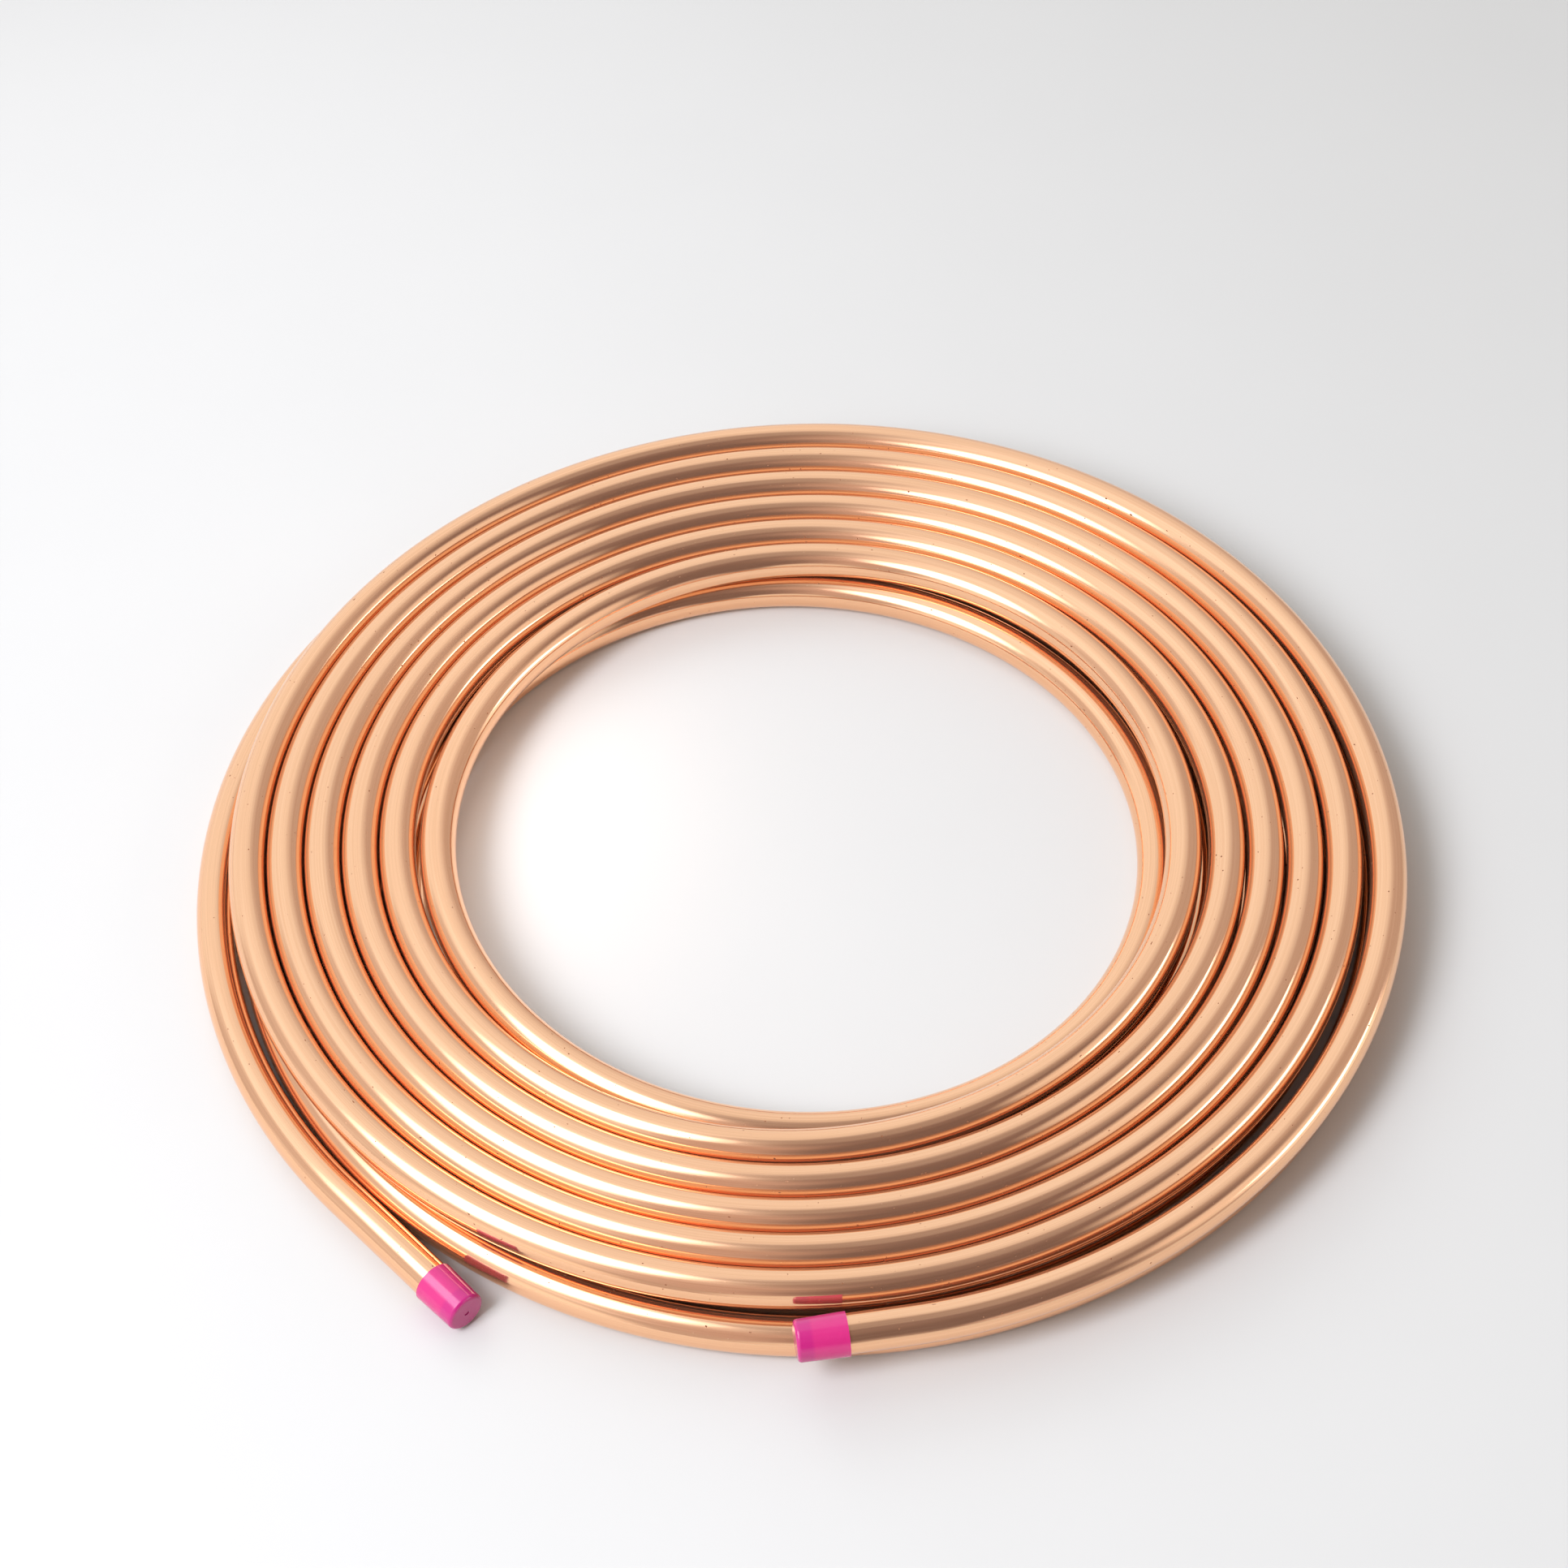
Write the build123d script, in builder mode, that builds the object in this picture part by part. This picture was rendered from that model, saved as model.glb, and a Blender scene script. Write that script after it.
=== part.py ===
from build123d import *
import math
import os

os.makedirs("parts", exist_ok=True)

# Tube section, in millimetres: soft copper tube, five eighths of an inch outside
tube_outside = 15.88
tube_wall = 1.0

# Clear gap left between neighbouring turns, and between the two layers
turn_gap = 0.29
turn_pitch = tube_outside + turn_gap
floor_level = tube_outside / 2
layer_rise = turn_pitch

# The innermost turn climbs from the floor layer to the upper layer over half a turn
climb_radius = 156.4

# Both layers are chains of quarter turns that meet on the diagonals of the plan, so each
# quarter faces one side. From the climb outwards, each has a plan radius a quarter of the
# pitch wider than the one before, plus a slack. The slacks of a regular turn repeat in
# rotation, and differ because its tubes lie closer together on one side than on the other.
quarter_turn = 90.0
half_turn = 180.0

# Floor layer: wound loose all through, and its last turn has sprung open
floor_start_slack = -1.54
floor_turn_slacks = [-0.04, 1.01, 0.81, -0.24]
floor_regular_quarters = 17
floor_sprung_slacks = [0.96, 1.16, 0.36, 1.86, -4.74]

# Upper layer: one loose turn at the head of the climb, tight turns, and a last sprung turn
upper_start_slacks = [5.96, -11.14, 5.56, -2.94, 2.06]
upper_turn_slacks = [-0.24, 0.31, -0.34, 0.56]
upper_regular_quarters = 14
upper_sprung_slacks = [-0.24, 0.16, 0.76, 2.86]
upper_last_slack = -10.84
upper_last_sweep = 33.1

# Free ends: a wide sprung arc on the floor, and a straight stretch at either end
floor_flare_radius = 256.1
floor_flare_sweep = 46.8
floor_straight = 70.5
upper_straight = 38.6

# Push-on end caps: they taper towards the closed end and grip the tube at the open rim
cap_clearance = 0.1
cap_wall = 0.8
cap_taper = 0.9
cap_overlap = 14.0
cap_stop_gap = 0.3
cap_hollow_depth = 4.9
cap_hollow_narrowing = 0.5
cap_end_wall = 1.2
cap_edge_radius = 1.6
cap_mark_radius = 1.1
cap_mark_depth = 0.35
cap_rim_outside = tube_outside + 2 * (cap_clearance + cap_wall)
cap_end_outside = cap_rim_outside - cap_taper
cap_stop = cap_overlap + cap_stop_gap
cap_depth = cap_stop + cap_hollow_depth
cap_length = cap_depth + cap_end_wall

# The floor end rises by the thickness of its cap, so the cap's rim just clears the floor
flare_angle = math.radians(floor_flare_sweep)
cap_lift = cap_wall + 2 * cap_clearance
lift_reach = (
    floor_flare_radius * (1 - math.cos(flare_angle))
    + (floor_straight - cap_overlap) * math.sin(flare_angle)
)
lift_tilt = math.asin(cap_lift / lift_reach)
climb_tilt = math.asin(layer_rise / (2 * climb_radius))


def arc_points(start, heading, inward, radius, sweep, tilt):
    """Middle and end of an arc that starts level and lies in a plane tilted upwards."""
    towards = inward * math.cos(tilt) + Vector(0, 0, math.sin(tilt))
    points = []
    for share in (0.5, 1.0):
        angle = math.radians(sweep) * share
        across = towards * (radius * (1 - math.cos(angle)))
        points.append(start + across + heading * (radius * math.sin(angle)))
    return points


def widening_radii(slacks):
    """Plan radii of a layer's quarter turns, from the climb outwards."""
    radii = []
    radius = climb_radius
    for slack in slacks:
        radius += turn_pitch / 4 + slack
        radii.append(radius)
    return radii


def in_rotation(slacks, count):
    """The slacks of one turn, repeated for as many quarters as the regular turns have."""
    return [slacks[number % len(slacks)] for number in range(count)]


def wind(start, heading, radii, sweeps):
    """Level arcs drawn one after another; gives where the last one ends, and its heading."""
    for radius, sweep_angle in zip(radii, sweeps):
        turn = JernArc(start, heading, radius, sweep_angle)
        start = turn @ 1
        heading = turn % 1
    return start, heading


# Radii and sweeps of the floor layer; its first and last arcs are half a quarter
floor_regular_slacks = in_rotation(floor_turn_slacks, floor_regular_quarters)
floor_radii = widening_radii([floor_start_slack] + floor_regular_slacks + floor_sprung_slacks)
floor_sweeps = [quarter_turn] * len(floor_radii)
floor_sweeps[0] = quarter_turn / 2
floor_sweeps[-1] = quarter_turn / 2

# Radii and sweeps of the upper layer, wound the other way
upper_slacks = upper_start_slacks + in_rotation(upper_turn_slacks, upper_regular_quarters)
upper_radii = widening_radii(upper_slacks + upper_sprung_slacks + [upper_last_slack])
upper_sweeps = [-quarter_turn] * len(upper_radii)
upper_sweeps[0] = -quarter_turn / 2
upper_sweeps[-1] = -upper_last_sweep

climb_reach = climb_radius * math.cos(climb_tilt)
climb_foot = Vector(climb_reach, 0, floor_level)
climb_head = Vector(-climb_reach, 0, floor_level + layer_rise)
towards_back = Vector(0, 1, 0)
towards_right = Vector(1, 0, 0)

# Centre line of the whole tube
with BuildLine() as centre_line:
    # Floor layer, anticlockwise from the foot of the climb, then the flare and straight end
    floor_end, heading = wind(climb_foot, towards_back, floor_radii, floor_sweeps)
    flare_middle, flare_end = arc_points(
        floor_end, heading, towards_right, floor_flare_radius, floor_flare_sweep, lift_tilt
    )
    flare = ThreePointArc(floor_end, flare_middle, flare_end)
    floor_heading = flare % 1
    floor_tip = flare @ 1 + floor_heading * floor_straight
    Line(flare @ 1, floor_tip)

    # Climb between the layers, half a turn in a slightly tilted plane
    climb_middle, climb_end = arc_points(
        climb_foot, -towards_back, -towards_right, climb_radius, half_turn, climb_tilt
    )
    ThreePointArc(climb_foot, climb_middle, climb_head)

    # Upper layer, clockwise from the head of the climb, then the straight end
    upper_end, upper_heading = wind(climb_head, towards_back, upper_radii, upper_sweeps)
    upper_tip = upper_end + upper_heading * upper_straight
    Line(upper_end, upper_tip)

# One continuous tube, drawn along its centre line with its bore open at both ends
with BuildPart() as copper_tube:
    with BuildSketch(Plane(origin=floor_tip, z_dir=-floor_heading)):
        Circle(tube_outside / 2)
        Circle(tube_outside / 2 - tube_wall, mode=Mode.SUBTRACT)
    sweep(path=centre_line.wires()[0])
copper_tube.part.label = "copper_tube"
export_step(copper_tube.part, "parts/copper_tube.step")

# Half outline of a cap: distance across the axis, distance along it from the open rim
bore_radius = tube_outside / 2 + cap_clearance
hollow_radius = bore_radius - cap_hollow_narrowing
mark_floor = cap_length - cap_mark_depth
cap_outline = [
    (bore_radius, 0),
    (cap_rim_outside / 2, 0),
    (cap_end_outside / 2, cap_length),
    (cap_mark_radius, cap_length),
    (cap_mark_radius, mark_floor),
    (0, mark_floor),
    (0, cap_depth),
    (hollow_radius, cap_depth),
    (hollow_radius, cap_stop),
    (bore_radius, cap_stop),
]
round_corner = Vector(cap_end_outside / 2, cap_length)


def rim_plane(tip, direction):
    """Upright plane through the tube's axis at the cap's open rim, y running outwards."""
    side = direction.cross(Vector(0, 0, 1)).normalized()
    rim = tip - direction * cap_overlap
    return Plane(origin=rim, x_dir=side, z_dir=side.cross(direction))


# Cap on the end that lies on the floor
floor_rim = rim_plane(floor_tip, floor_heading)
with BuildPart() as floor_end_cap:
    with BuildSketch(floor_rim) as floor_cap_outline:
        Polygon(*cap_outline, align=None)
        fillet(floor_cap_outline.vertices().sort_by_distance(round_corner)[0], cap_edge_radius)
    revolve(axis=Axis(floor_rim.origin, floor_rim.y_dir))
floor_end_cap.part.label = "floor_end_cap"
export_step(floor_end_cap.part, "parts/floor_end_cap.step")

# Cap on the end that lies on top of the coil
upper_rim = rim_plane(upper_tip, upper_heading)
with BuildPart() as upper_end_cap:
    with BuildSketch(upper_rim) as upper_cap_outline:
        Polygon(*cap_outline, align=None)
        fillet(upper_cap_outline.vertices().sort_by_distance(round_corner)[0], cap_edge_radius)
    revolve(axis=Axis(upper_rim.origin, upper_rim.y_dir))
upper_end_cap.part.label = "upper_end_cap"
export_step(upper_end_cap.part, "parts/upper_end_cap.step")
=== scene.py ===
import math

import bpy
import numpy as np
from mathutils import Matrix, Vector


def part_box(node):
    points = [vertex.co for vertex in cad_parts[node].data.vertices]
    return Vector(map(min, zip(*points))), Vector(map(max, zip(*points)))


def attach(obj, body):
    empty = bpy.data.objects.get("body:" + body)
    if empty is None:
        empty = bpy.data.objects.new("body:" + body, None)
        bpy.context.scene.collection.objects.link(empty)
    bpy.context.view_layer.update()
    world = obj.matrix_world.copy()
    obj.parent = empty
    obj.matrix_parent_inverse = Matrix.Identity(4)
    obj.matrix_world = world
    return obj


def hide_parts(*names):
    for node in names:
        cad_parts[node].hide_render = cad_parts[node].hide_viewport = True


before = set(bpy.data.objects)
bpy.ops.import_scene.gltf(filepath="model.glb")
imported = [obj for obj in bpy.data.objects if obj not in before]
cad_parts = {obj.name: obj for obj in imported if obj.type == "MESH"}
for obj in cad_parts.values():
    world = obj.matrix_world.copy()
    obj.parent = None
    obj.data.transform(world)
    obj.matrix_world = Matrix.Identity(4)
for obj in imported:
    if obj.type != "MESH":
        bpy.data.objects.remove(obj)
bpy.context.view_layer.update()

# Sizes of the CAD source, in metres: the tube and the way it is wound
MM = 0.001
tube_outside = 15.88 * MM
tube_wall = 1.0 * MM
turn_gap = 0.29 * MM
turn_pitch = tube_outside + turn_gap
floor_level = tube_outside / 2
layer_rise = turn_pitch
climb_radius = 156.4 * MM
quarter_turn = math.radians(90)
half_turn = math.radians(180)

# Slacks, in millimetres: by how much each quarter turn is wider than the one before it, beyond
# a quarter of the pitch. The regular turns repeat their four slacks.
floor_start_slack = -1.54
floor_turn_slacks = [-0.04, 1.01, 0.81, -0.24]
floor_regular_quarters = 17
floor_sprung_slacks = [0.96, 1.16, 0.36, 1.86, -4.74]
floor_flare_radius = 256.1 * MM
floor_flare_sweep = math.radians(46.8)
floor_straight = 70.5 * MM

upper_start_slacks = [5.96, -11.14, 5.56, -2.94, 2.06]
upper_turn_slacks = [-0.24, 0.31, -0.34, 0.56]
upper_regular_quarters = 14
upper_sprung_slacks = [-0.24, 0.16, 0.76, 2.86]
upper_last_slack = -10.84
upper_last_sweep = math.radians(33.1)
upper_straight = 38.6 * MM

cap_wall = 0.8 * MM
cap_clearance = 0.1 * MM
cap_overlap = 14.0 * MM

# The skin's mesh: sides round the tube, closer together on its upper part, and the longest step
# along it, which is wider for the quarter turns of the floor layer that lie hidden
upper_sides = 30
lower_sides = 10
ring_sides = upper_sides + lower_sides
lower_part = math.radians(140)
ring_spacing = 5.4 * MM
hidden_ring_spacing = 12.0 * MM
hidden_quarters = range(4, 17)
bore_depth = 40 * MM
bore_rings = 7

# The camera of the photograph, worked out for its square frame
camera_place = Vector((0.064194, -0.927146, 1.103371))
camera_yaw = -0.07483
camera_pitch = 0.84723
camera_roll = -0.02659
focal_pixels = 4034.37
frame_pixels = 1932
sensor_width = 36.0


def make_camera():
    """A camera where the photograph's stood, looking where it looked."""
    forward = Vector((
        math.sin(camera_yaw) * math.cos(camera_pitch),
        math.cos(camera_yaw) * math.cos(camera_pitch),
        -math.sin(camera_pitch),
    ))
    level_right = forward.cross(Vector((0, 0, 1))).normalized()
    level_up = level_right.cross(forward)
    right = level_right * math.cos(camera_roll) + level_up * math.sin(camera_roll)
    up = level_up * math.cos(camera_roll) - level_right * math.sin(camera_roll)
    turn = Matrix((right, up, -forward)).transposed().to_4x4()
    data = bpy.data.cameras.new("camera")
    data.sensor_width = sensor_width
    data.lens = sensor_width * focal_pixels / frame_pixels
    camera = bpy.data.objects.new("camera", data)
    camera.matrix_world = Matrix.Translation(camera_place) @ turn
    bpy.context.scene.collection.objects.link(camera)
    bpy.context.scene.camera = camera


# Winding: the tube's centre line as points and headings, from the same rules as the CAD source


def widening_radii(slacks):
    """Plan radii of a layer's quarter turns, from the climb outwards."""
    radii = []
    radius = climb_radius
    for slack in slacks:
        radius += turn_pitch / 4 + slack * MM
        radii.append(radius)
    return radii


def in_rotation(slacks, count):
    """The slacks of one turn, repeated for as many quarters as the regular turns have."""
    return [slacks[number % len(slacks)] for number in range(count)]


def arc(start, heading, inward, radius, sweep, spacing=ring_spacing):
    """Points and headings along an arc, without its start."""
    steps = math.ceil(radius * sweep / spacing)
    angle = (np.arange(1, steps + 1) / steps * sweep)[:, None]
    points = start + inward * radius * (1 - np.cos(angle)) + heading * radius * np.sin(angle)
    headings = inward * np.sin(angle) + heading * np.cos(angle)
    return points, headings


def straight(start, heading, length):
    """Points and headings along a straight run, without its start."""
    steps = math.ceil(length / ring_spacing)
    along = (np.arange(1, steps + 1) / steps * length)[:, None]
    return start + heading * along, np.repeat(heading[None], steps, axis=0)


class Run:
    """A stretch of centre line that grows at its end."""

    def __init__(self, start, heading):
        self.points = [start[None]]
        self.headings = [heading[None]]

    def add(self, piece):
        self.points.append(piece[0])
        self.headings.append(piece[1])

    def end(self):
        return self.points[-1][-1], self.headings[-1][-1]

    def joined(self):
        return np.concatenate(self.points), np.concatenate(self.headings)


def level_inward(heading, side):
    """Unit vector square to a level heading: to its left for side 1, to its right for -1."""
    return np.array([-heading[1], heading[0], 0.0]) * side


def tilted(inward, tilt):
    """The same inward direction, tilted upwards by an angle."""
    return inward * math.cos(tilt) + np.array([0, 0, math.sin(tilt)])


def wind_layer(run, radii, sweeps, side, hidden):
    """Adds a layer's arcs to the run; the hidden ones get fewer rings."""
    for number, (radius, sweep) in enumerate(zip(radii, sweeps)):
        start, heading = run.end()
        spacing = hidden_ring_spacing if number in hidden else ring_spacing
        run.add(arc(start, heading, level_inward(heading, side), radius, sweep, spacing))


def floor_run(foot):
    """Floor layer from the foot of the climb outwards, with its sprung and slightly raised end."""
    slacks = [floor_start_slack] + in_rotation(floor_turn_slacks, floor_regular_quarters)
    radii = widening_radii(slacks + floor_sprung_slacks)
    sweeps = [quarter_turn] * len(radii)
    sweeps[0] = quarter_turn / 2
    sweeps[-1] = quarter_turn / 2
    run = Run(foot, np.array([0.0, 1.0, 0.0]))
    wind_layer(run, radii, sweeps, 1, hidden_quarters)
    lift = cap_wall + 2 * cap_clearance
    reach = floor_flare_radius * (1 - math.cos(floor_flare_sweep))
    reach += (floor_straight - cap_overlap) * math.sin(floor_flare_sweep)
    start, heading = run.end()
    inward = tilted(level_inward(heading, 1), math.asin(lift / reach))
    run.add(arc(start, heading, inward, floor_flare_radius, floor_flare_sweep))
    start, heading = run.end()
    run.add(straight(start, heading, floor_straight))
    return run.joined()


def climb_run(foot, tilt):
    """Half a turn that climbs from the floor layer to the upper one."""
    inward = tilted(np.array([-1.0, 0.0, 0.0]), tilt)
    return arc(foot, np.array([0.0, -1.0, 0.0]), inward, climb_radius, half_turn)


def upper_run(head):
    """Upper layer from the head of the climb outwards, with its straight end."""
    slacks = upper_start_slacks + in_rotation(upper_turn_slacks, upper_regular_quarters)
    radii = widening_radii(slacks + upper_sprung_slacks + [upper_last_slack])
    sweeps = [quarter_turn] * len(radii)
    sweeps[0] = quarter_turn / 2
    sweeps[-1] = upper_last_sweep
    run = Run(head, np.array([0.0, 1.0, 0.0]))
    wind_layer(run, radii, sweeps, -1, ())
    start, heading = run.end()
    run.add(straight(start, heading, upper_straight))
    return run.joined()


def centre_line():
    """Points and headings of the whole tube, from its floor end to its upper end."""
    tilt = math.asin(layer_rise / (2 * climb_radius))
    reach = climb_radius * math.cos(tilt)
    foot = np.array([reach, 0, floor_level])
    head = np.array([-reach, 0, floor_level + layer_rise])
    floor_points, floor_headings = floor_run(foot)
    climb_points, climb_headings = climb_run(foot, tilt)
    upper_points, upper_headings = upper_run(head)
    points = np.concatenate([floor_points[::-1], climb_points, upper_points[1:]])
    headings = np.concatenate([-floor_headings[::-1], climb_headings, upper_headings[1:]])
    return points, headings


# Skin of the tube


def side_angles():
    """Angles of a ring's corners, from the one underneath, evenly mirrored about it."""
    half_lower = lower_part / 2
    rising = np.arange(lower_sides // 2) / (lower_sides // 2) * half_lower
    over = half_lower + np.arange(upper_sides) / upper_sides * (2 * math.pi - lower_part)
    falling = 2 * math.pi - half_lower + rising
    return np.concatenate([rising, over, falling])


def rings(points, headings, radius):
    """Circles of corners square to the centre line; the first corner of each lies underneath."""
    across = np.cross(headings, [0.0, 0.0, 1.0])
    across /= np.linalg.norm(across, axis=1)[:, None]
    upward = np.cross(across, headings)
    angle = side_angles()
    sideways = np.sin(angle)[None, :, None] * across[:, None]
    upright = -np.cos(angle)[None, :, None] * upward[:, None]
    return points[:, None] + radius * (sideways + upright)


def ring_faces(count):
    """Quads that join each ring of corners to the next one."""
    ring = np.arange(count - 1)[:, None] * ring_sides
    corner = np.arange(ring_sides)[None]
    after = (corner + 1) % ring_sides
    next_ring = ring + ring_sides
    quads = np.stack([ring + corner, ring + after, next_ring + after, next_ring + corner], 2)
    return quads.reshape(-1, 4)


def end_run(tip, outward, radius):
    """Rings of the bore behind an end, from its mouth inwards."""
    inside = np.linspace(0, bore_depth, bore_rings)[:, None]
    return rings(tip - outward * inside, np.repeat(outward[None], bore_rings, axis=0), radius)


def store_straight_places(mesh, points):
    """Keeps each corner's place on the straightened tube, for patterns that follow its length."""
    steps = np.linalg.norm(np.diff(points, axis=0), axis=1)
    along = np.concatenate([[0.0], np.cumsum(steps)])
    along = np.concatenate([np.zeros(bore_rings), along, np.full(bore_rings, along[-1])])
    angle = side_angles()
    places = np.zeros((len(along), ring_sides, 3), np.float32)
    places[:, :, 0] = np.cos(angle) * tube_outside / 2
    places[:, :, 1] = np.sin(angle) * tube_outside / 2
    places[:, :, 2] = along[:, None]
    attribute = mesh.attributes.new("straight_place", "FLOAT_VECTOR", "POINT")
    attribute.data.foreach_set("vector", places.ravel())


def tube_skin(points, headings):
    """Mesh of the tube: its outside, its end faces, and its bore as deep as anyone sees."""
    outside = tube_outside / 2
    bore = outside - tube_wall
    outer = rings(points, headings, outside)
    upper_bore = end_run(points[-1], headings[-1], bore)
    floor_bore = end_run(points[0], -headings[0], bore)
    # These rings were made facing the other way, so their corners are put in the outer rings' order
    floor_bore = floor_bore[:, (-np.arange(ring_sides)) % ring_sides]
    corners = np.concatenate([floor_bore[::-1], outer, upper_bore]).reshape(-1, 3)
    corners = np.clip(corners, *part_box("copper_tube"))
    count = len(corners) // ring_sides
    faces = ring_faces(count).tolist()
    faces.append(list(range(ring_sides))[::-1])
    last = (count - 1) * ring_sides
    faces.append(list(range(last, last + ring_sides)))
    mesh = bpy.data.meshes.new("copper_tube_skin")
    mesh.from_pydata(corners.tolist(), [], faces)
    mesh.validate()
    mesh.shade_smooth()
    store_straight_places(mesh, points)
    skin = bpy.data.objects.new("copper_tube_skin", mesh)
    bpy.context.scene.collection.objects.link(skin)
    return skin


# Nodes of the materials and of the surroundings


full_span = (0, 1)


def new_material(name):
    """A material, its node tree and its one shader."""
    material = bpy.data.materials.new(name)
    material.use_nodes = True
    tree = material.node_tree
    return material, tree, tree.nodes["Principled BSDF"]


def noise(tree, place, scale, detail):
    """Noise with the same scale in every direction."""
    node = tree.nodes.new("ShaderNodeTexNoise")
    node.inputs["Scale"].default_value = scale
    node.inputs["Detail"].default_value = detail
    tree.links.new(place, node.inputs["Vector"])
    return node.outputs["Fac"]


def stretched_noise(tree, place, scales, detail):
    """Noise on the straightened tube, with a scale of its own for each direction."""
    mapping = tree.nodes.new("ShaderNodeMapping")
    mapping.inputs["Scale"].default_value = scales
    tree.links.new(place, mapping.inputs["Vector"])
    return noise(tree, mapping.outputs["Vector"], 1.0, detail)


def ranged(tree, value, span, new_span, curve="LINEAR"):
    """The value, with one span brought to another and held within it."""
    node = tree.nodes.new("ShaderNodeMapRange")
    node.interpolation_type = curve
    node.inputs["From Min"].default_value = span[0]
    node.inputs["From Max"].default_value = span[1]
    node.inputs["To Min"].default_value = new_span[0]
    node.inputs["To Max"].default_value = new_span[1]
    tree.links.new(value, node.inputs["Value"])
    return node.outputs["Result"]


def added(tree, first, second):
    """Sum of two values."""
    node = tree.nodes.new("ShaderNodeMath")
    tree.links.new(first, node.inputs[0])
    tree.links.new(second, node.inputs[1])
    return node.outputs["Value"]


def reach_along(tree, vector, heading):
    """How far a vector reaches along a fixed heading."""
    node = tree.nodes.new("ShaderNodeVectorMath")
    node.operation = "DOT_PRODUCT"
    node.inputs[1].default_value = heading
    tree.links.new(vector, node.inputs[0])
    return node.outputs["Value"]


def mixed(tree, share, first, second):
    """The first colour, fixed or from a node, replaced by the fixed second where the share is 1."""
    node = tree.nodes.new("ShaderNodeMix")
    node.data_type = "RGBA"
    node.inputs["B"].default_value = second
    tree.links.new(share, node.inputs["Factor"])
    if isinstance(first, tuple):
        node.inputs["A"].default_value = first
    else:
        tree.links.new(first, node.inputs["A"])
    return node.outputs["Result"]


def raised(tree, height, relief, below=None):
    """Normal of a surface that the height lifts, over the relief below it, if any."""
    depth, strength = relief
    node = tree.nodes.new("ShaderNodeBump")
    node.inputs["Strength"].default_value = strength
    node.inputs["Distance"].default_value = depth
    tree.links.new(height, node.inputs["Height"])
    if below is not None:
        tree.links.new(below, node.inputs["Normal"])
    return node.outputs["Normal"]


# Copper. Each pattern follows the straightened tube: its scales are those across the tube, twice,
# and along it, and the number after them is its level of detail.
line_pattern = ((1500, 1500, 8), 2)
ribbon_pattern = ((520, 520, 3.5), 2)
wave_pattern = ((90, 90, 7), 1)
smear_pattern = ((70, 70, 16), 3)
speck_pattern = ((900, 900, 620), 0)

# The spans of those patterns that take effect
pit_span = (0.83, 0.87)
tint_span = (0.25, 0.75)
grain_span = (0.3, 0.7)
smear_span = (0.35, 0.7)

copper_tint_low = (0.905, 0.508, 0.288, 1)
copper_tint_high = (0.992, 0.588, 0.35, 1)
copper_in_pits = (0.55, 0.27, 0.14, 1)
copper_metallic = 0.93
smear_roughness = (0.075, 0.12)
grain_roughness = (0.0, 0.03)

# Depth in metres and strength
wave_relief = (0.4 * MM, 0.2)
ribbon_relief = (0.1 * MM, 0.2)
line_relief = (0.2 * MM, 0.03)


def copper_material():
    """Bright drawn copper: fine lines and soft ribbons along it, faint waves, dull smears, pits."""
    material, tree, shader = new_material("bright_copper")
    attribute = tree.nodes.new("ShaderNodeAttribute")
    attribute.attribute_name = "straight_place"
    place = attribute.outputs["Vector"]
    lines = stretched_noise(tree, place, *line_pattern)
    ribbons = stretched_noise(tree, place, *ribbon_pattern)
    waves = stretched_noise(tree, place, *wave_pattern)
    smears = stretched_noise(tree, place, *smear_pattern)
    specks = stretched_noise(tree, place, *speck_pattern)
    pits = ranged(tree, specks, pit_span, full_span)

    streaks = ranged(tree, lines, tint_span, full_span)
    tint = mixed(tree, streaks, copper_tint_low, copper_tint_high)
    tree.links.new(mixed(tree, pits, tint, copper_in_pits), shader.inputs["Base Color"])
    shader.inputs["Metallic"].default_value = copper_metallic

    grain = ranged(tree, lines, grain_span, grain_roughness)
    dulled = added(tree, grain, ranged(tree, smears, smear_span, smear_roughness))
    tree.links.new(added(tree, dulled, pits), shader.inputs["Roughness"])

    relief = raised(tree, waves, wave_relief)
    relief = raised(tree, ribbons, ribbon_relief, relief)
    relief = raised(tree, lines, line_relief, relief)
    tree.links.new(relief, shader.inputs["Normal"])
    return material


# Caps. A pattern here is a scale and a level of detail.
cap_mottle = (260, 3)
cap_grain = (1800, 2)
mottle_span = (0.3, 0.7)
# The lighter pink over the tube is painted light from the copper behind the cap; the darker pink past
# the tube's end is painted shade
cap_pink_painted_lit_low = (0.64, 0.024, 0.19, 1)
cap_pink_painted_lit_high = (0.70, 0.032, 0.215, 1)
cap_pink_painted_shade = (0.58, 0.02, 0.20, 1)
painted_shade_before_tip = 0.6 * MM
painted_shade_after_tip = 0.8 * MM
cap_roughness = (0.08, 0.14)
cap_relief = (0.04 * MM, 0.25)
cap_transmission = 0.2
cap_refraction = 1.5
cap_coat = 0.3
cap_coat_roughness = 0.05


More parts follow.
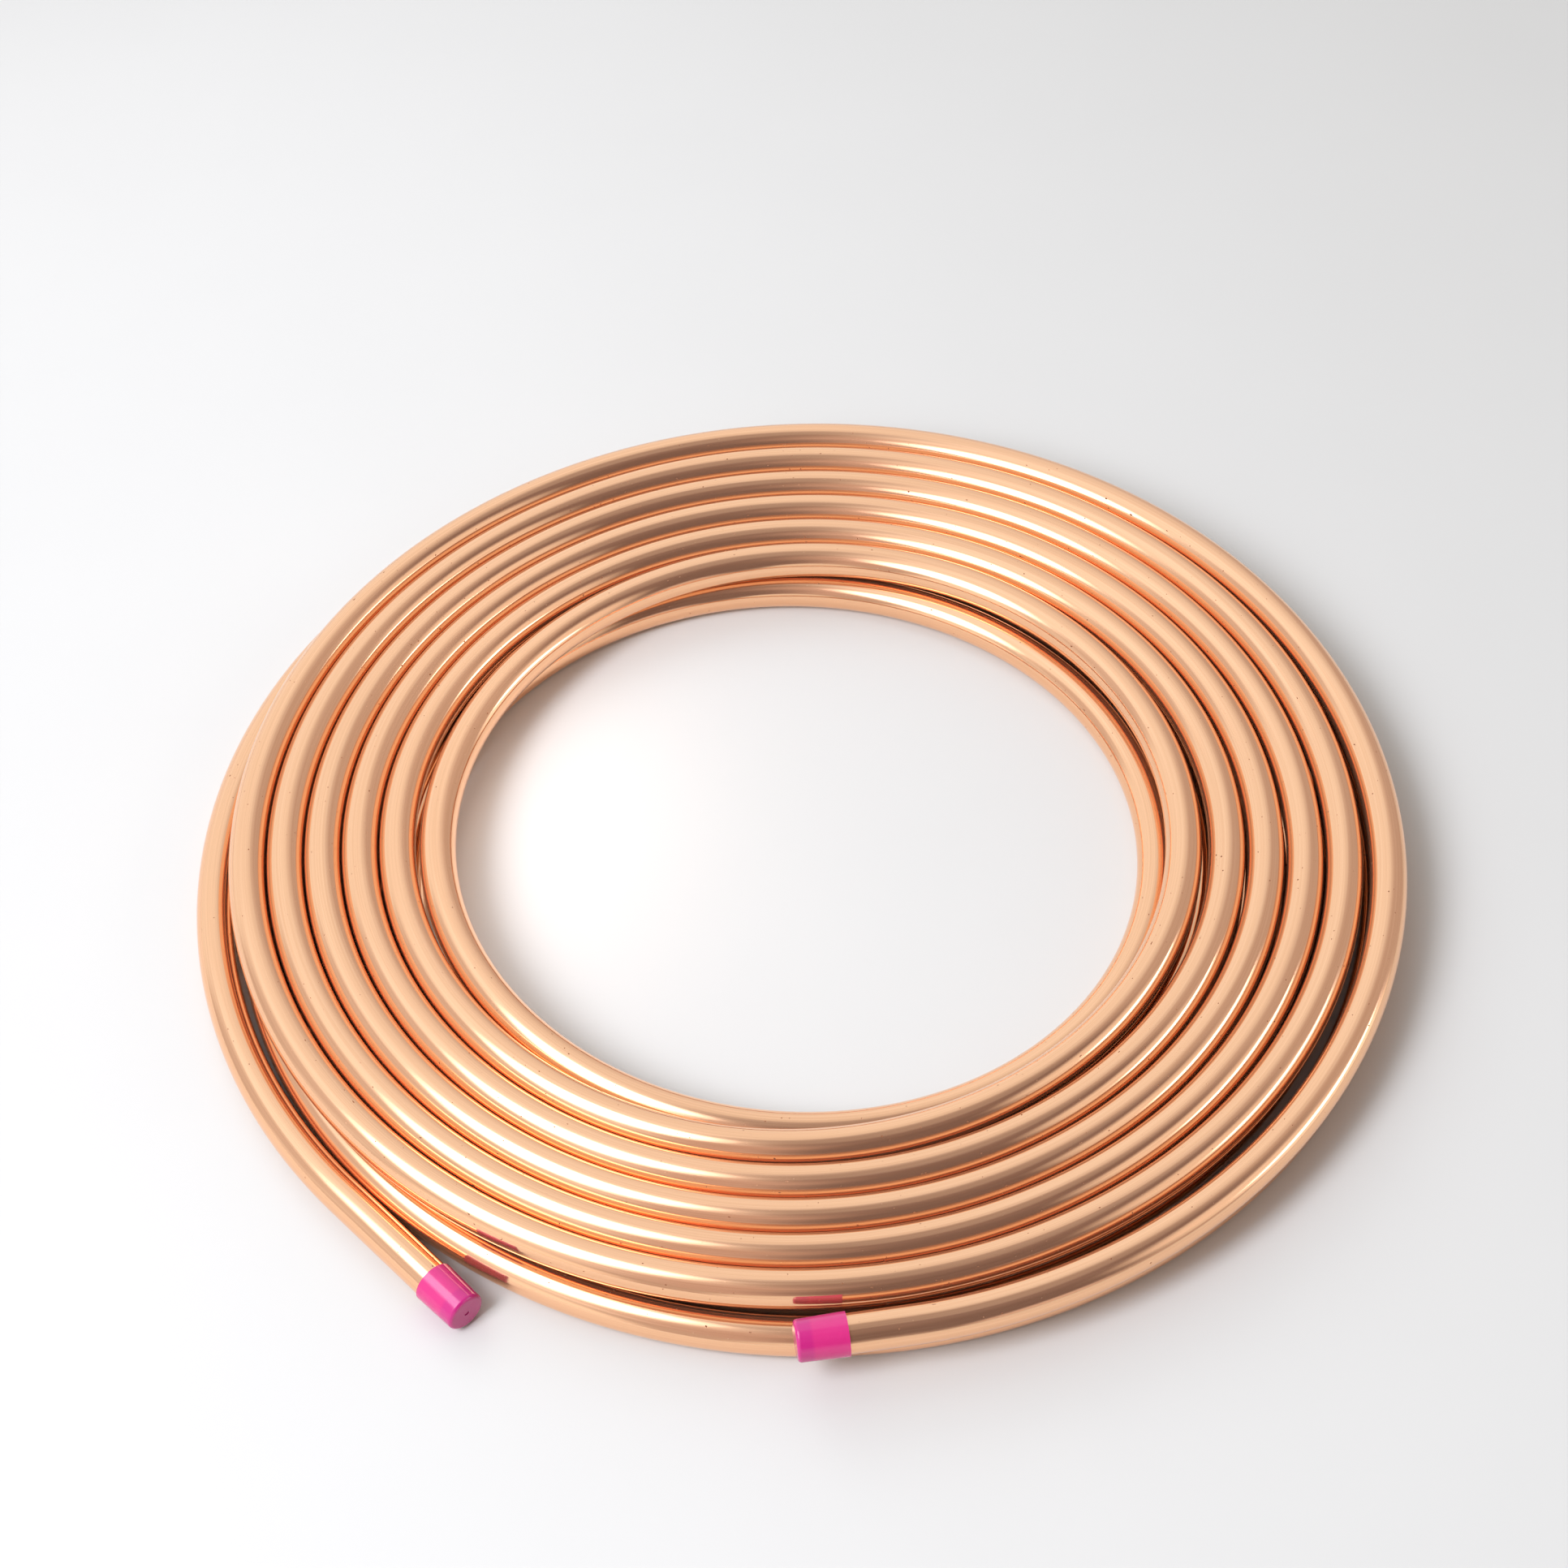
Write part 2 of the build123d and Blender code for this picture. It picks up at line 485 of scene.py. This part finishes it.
def cap_material(name, tip, outward):
    """Glossy pink plastic: painted light over the tube, painted shade past the tube's end, where
    nothing bright lies behind.
    """
    material, tree, shader = new_material(name)
    place = tree.nodes.new("ShaderNodeTexCoord").outputs["Object"]
    tip_reach = float(np.dot(tip, outward))
    edge = (tip_reach - painted_shade_before_tip, tip_reach + painted_shade_after_tip)
    # Share of the painted shade: none over the tube, all of it just past the tube's end
    painted_shade_share = ranged(tree, reach_along(tree, place, outward), edge, full_span)
    mottle = noise(tree, place, *cap_mottle)
    grain = noise(tree, place, *cap_grain)
    # Painted light over the tube, with a random mottle in its tone
    painted_lit_pink = mixed(tree, mottle, cap_pink_painted_lit_low, cap_pink_painted_lit_high)
    tree.links.new(mixed(tree, painted_shade_share, painted_lit_pink, cap_pink_painted_shade), shader.inputs["Base Color"])
    tree.links.new(ranged(tree, mottle, mottle_span, cap_roughness), shader.inputs["Roughness"])
    tree.links.new(raised(tree, grain, cap_relief), shader.inputs["Normal"])
    shader.inputs["Transmission Weight"].default_value = cap_transmission
    shader.inputs["IOR"].default_value = cap_refraction
    shader.inputs["Coat Weight"].default_value = cap_coat
    shader.inputs["Coat Roughness"].default_value = cap_coat_roughness
    return material


def dress(name, material):
    """Gives a CAD node this material."""
    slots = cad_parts[name].data.materials
    slots.clear()
    slots.append(material)


# Stage: floor, surroundings and lights


floor_mottle = (9, 4)
floor_colour_low = (0.600, 0.598, 0.554, 1)
floor_colour_high = (0.618, 0.616, 0.571, 1)
floor_roughness = (0.62, 0.72)
floor_specular = 0.2
floor_half_width = 6.0
floor_height = -0.1 * MM


def floor_material():
    """Matt white board with a faint mottle."""
    material, tree, shader = new_material("white_floor")
    place = tree.nodes.new("ShaderNodeTexCoord").outputs["Object"]
    mottle = noise(tree, place, *floor_mottle)
    shade = mixed(tree, mottle, floor_colour_low, floor_colour_high)
    tree.links.new(shade, shader.inputs["Base Color"])
    tree.links.new(ranged(tree, mottle, mottle_span, floor_roughness), shader.inputs["Roughness"])
    shader.inputs["Specular IOR Level"].default_value = floor_specular
    return material


def make_floor():
    """A wide square board, just under the coil."""
    corner_signs = [(-1, -1), (1, -1), (1, 1), (-1, 1)]
    corners = [(x * floor_half_width, y * floor_half_width, floor_height) for x, y in corner_signs]
    mesh = bpy.data.meshes.new("floor")
    mesh.from_pydata(corners, [], [(0, 1, 2, 3)])
    floor = bpy.data.objects.new("floor", mesh)
    floor.data.materials.append(floor_material())
    bpy.context.scene.collection.objects.link(floor)


def direction(azimuth, elevation):
    """Unit vector from angles in degrees; azimuth 0 is the back, and 90 the right."""
    turn = math.radians(azimuth)
    rise = math.radians(elevation)
    level = math.cos(rise)
    return Vector((math.sin(turn) * level, math.cos(turn) * level, math.sin(rise)))


# The studio round the coil: a plain room, and soft round patches over it, each in place of
# what is listed before it: azimuth, elevation, angle of the even middle, angle of the faded
# rim, brightness in red, green and blue
room_brightness = (0.54, 0.49, 0.49)
room_patches = [
    (-50, 25, 35, 75, (0.96, 1.01, 1.05)),
    (-85, 62, 12, 34, (1.14, 1.20, 1.28)),
    (-135, 48, 12, 32, (1.05, 1.05, 1.10)),
    (-86, 24, 7, 24, (0.68, 0.64, 0.65)),
    (-80, 6, 5, 14, (0.62, 0.58, 0.58)),
    (178, 40, 12, 36, (0.56, 0.46, 0.46)),
    (118, 60, 15, 36, (0.20, 0.15, 0.155)),
    (150, 28, 14, 36, (0.15, 0.11, 0.115)),
    (101, 27, 10, 27, (0.95, 0.92, 0.90)),
    (83, 4, 7, 19, (1.35, 1.35, 1.35)),
    (93, 12, 5, 18, (1.15, 1.15, 1.20)),
    (142, 2, 5, 16, (0.68, 0.60, 0.60)),
    (178, 4, 8, 16, (0.85, 0.85, 0.85)),
    (-134, 2, 12, 26, (1.12, 1.12, 1.12)),
    (75, 80, 6, 22, (0.38, 0.35, 0.36)),
]


def make_surroundings():
    """The plain room and its patches, as the light that comes from all round."""
    world = bpy.data.worlds.new("studio")
    bpy.context.scene.world = world
    world.use_nodes = True
    tree = world.node_tree
    outlook = tree.nodes.new("ShaderNodeTexCoord").outputs["Generated"]
    colour = (*room_brightness, 1)
    for azimuth, elevation, middle, rim, brightness in room_patches:
        nearness = reach_along(tree, outlook, direction(azimuth, elevation))
        rim_to_middle = (math.cos(math.radians(rim)), math.cos(math.radians(middle)))
        fade = ranged(tree, nearness, rim_to_middle, full_span, "SMOOTHSTEP")
        colour = mixed(tree, fade, colour, (*brightness, 1))
    tree.links.new(colour, tree.nodes["Background"].inputs["Color"])


# The lights that face the coil. A place is an azimuth and an elevation in degrees and a distance
# in metres. Each light is a set of ovals, one in front of another and brighter towards the
# middle, given as tangents of half the width, tangents of half the height, and added brightness.
light_colour = (1.0, 1.02, 1.16)
zone_step = 0.01

# The key light: tall and soft, high at the front left, which only lights matt surfaces
key_place = (-135, 47, 2.5)
key_zones = [(0.306, 0.466, 1.1), (0.213, 0.344, 4.4), (0.141, 0.231, 15.0)]

# What glossy surfaces show in its place: a soft box close to the coil, which lights nothing matt
box_place = (-127, 51, 0.7)
box_zones = [(0.40, 0.46, 0.6), (0.34, 0.395, 1.1), (0.28, 0.33, 1.7)]

# A long low light at the right, which also shows only in glossy surfaces
strip_place = (90, 18, 3.0)
strip_zones = [(0.34, 0.12, 0.4), (0.28, 0.075, 3.0)]

# The fill: small and soft, near the coil at the back left, which only lights matt surfaces
fill_place = (-40, 43.8, 0.954)
fill_zones = [(0.3, 0.3, 1.83)]

# The warm light that the inner wall throws on the floor beside it at the left: a small soft oval
# over that floor, facing down, which only lights matt surfaces
bounce_centre = Vector((-0.13, 0.025, 0.09))
bounce_half_sizes = (0.025, 0.11)
bounce_radiance = 2.3
bounce_colour = (1.0, 0.77, 0.69)
facing_down = Matrix.Identity(4)


def make_oval(name, half_sizes, radiance, colour, place, turn, matt):
    """A soft oval light that reaches matt surfaces, or else glossy ones, and that no camera sees."""
    half_width, half_height = half_sizes
    area = math.pi * half_width * half_height
    light = bpy.data.lights.new(name, "AREA")
    light.color = colour
    light.shape = "ELLIPSE"
    light.size = 2 * half_width
    light.size_y = 2 * half_height
    light.energy = radiance * math.pi * area
    lamp = bpy.data.objects.new(name, light)
    lamp.matrix_world = Matrix.Translation(place) @ turn
    lamp.visible_camera = False
    lamp.visible_diffuse = matt
    lamp.visible_glossy = not matt
    bpy.context.scene.collection.objects.link(lamp)


def make_light(name, place, zones, matt):
    """Soft oval lights, one in front of another, that face the middle of the coil."""
    azimuth, elevation, distance = place
    towards = direction(azimuth, elevation)
    turn = towards.to_track_quat("Z", "Y").to_matrix().to_4x4()
    for number, (width, height, radiance) in enumerate(zones):
        away = distance - number * zone_step
        half_sizes = (away * width, away * height)
        make_oval(name, half_sizes, radiance, light_colour, towards * away, turn, matt)


def make_lights():
    """The lights for matt surfaces, and the ones that glossy surfaces show."""
    make_light("key", key_place, key_zones, True)
    make_light("box", box_place, box_zones, False)
    make_light("strip", strip_place, strip_zones, False)
    make_light("fill", fill_place, fill_zones, True)
    make_oval(
        "bounce", bounce_half_sizes, bounce_radiance, bounce_colour, bounce_centre, facing_down, True
    )


# The scene

make_camera()
points, headings = centre_line()
tube = tube_skin(points, headings)
tube.data.materials.append(copper_material())
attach(tube, "root")
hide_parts("copper_tube")
dress("floor_end_cap", cap_material("floor_cap_plastic", points[0], -headings[0]))
dress("upper_end_cap", cap_material("upper_cap_plastic", points[-1], headings[-1]))
make_floor()
make_surroundings()
make_lights()
bpy.context.scene.view_settings.view_transform = "Standard"
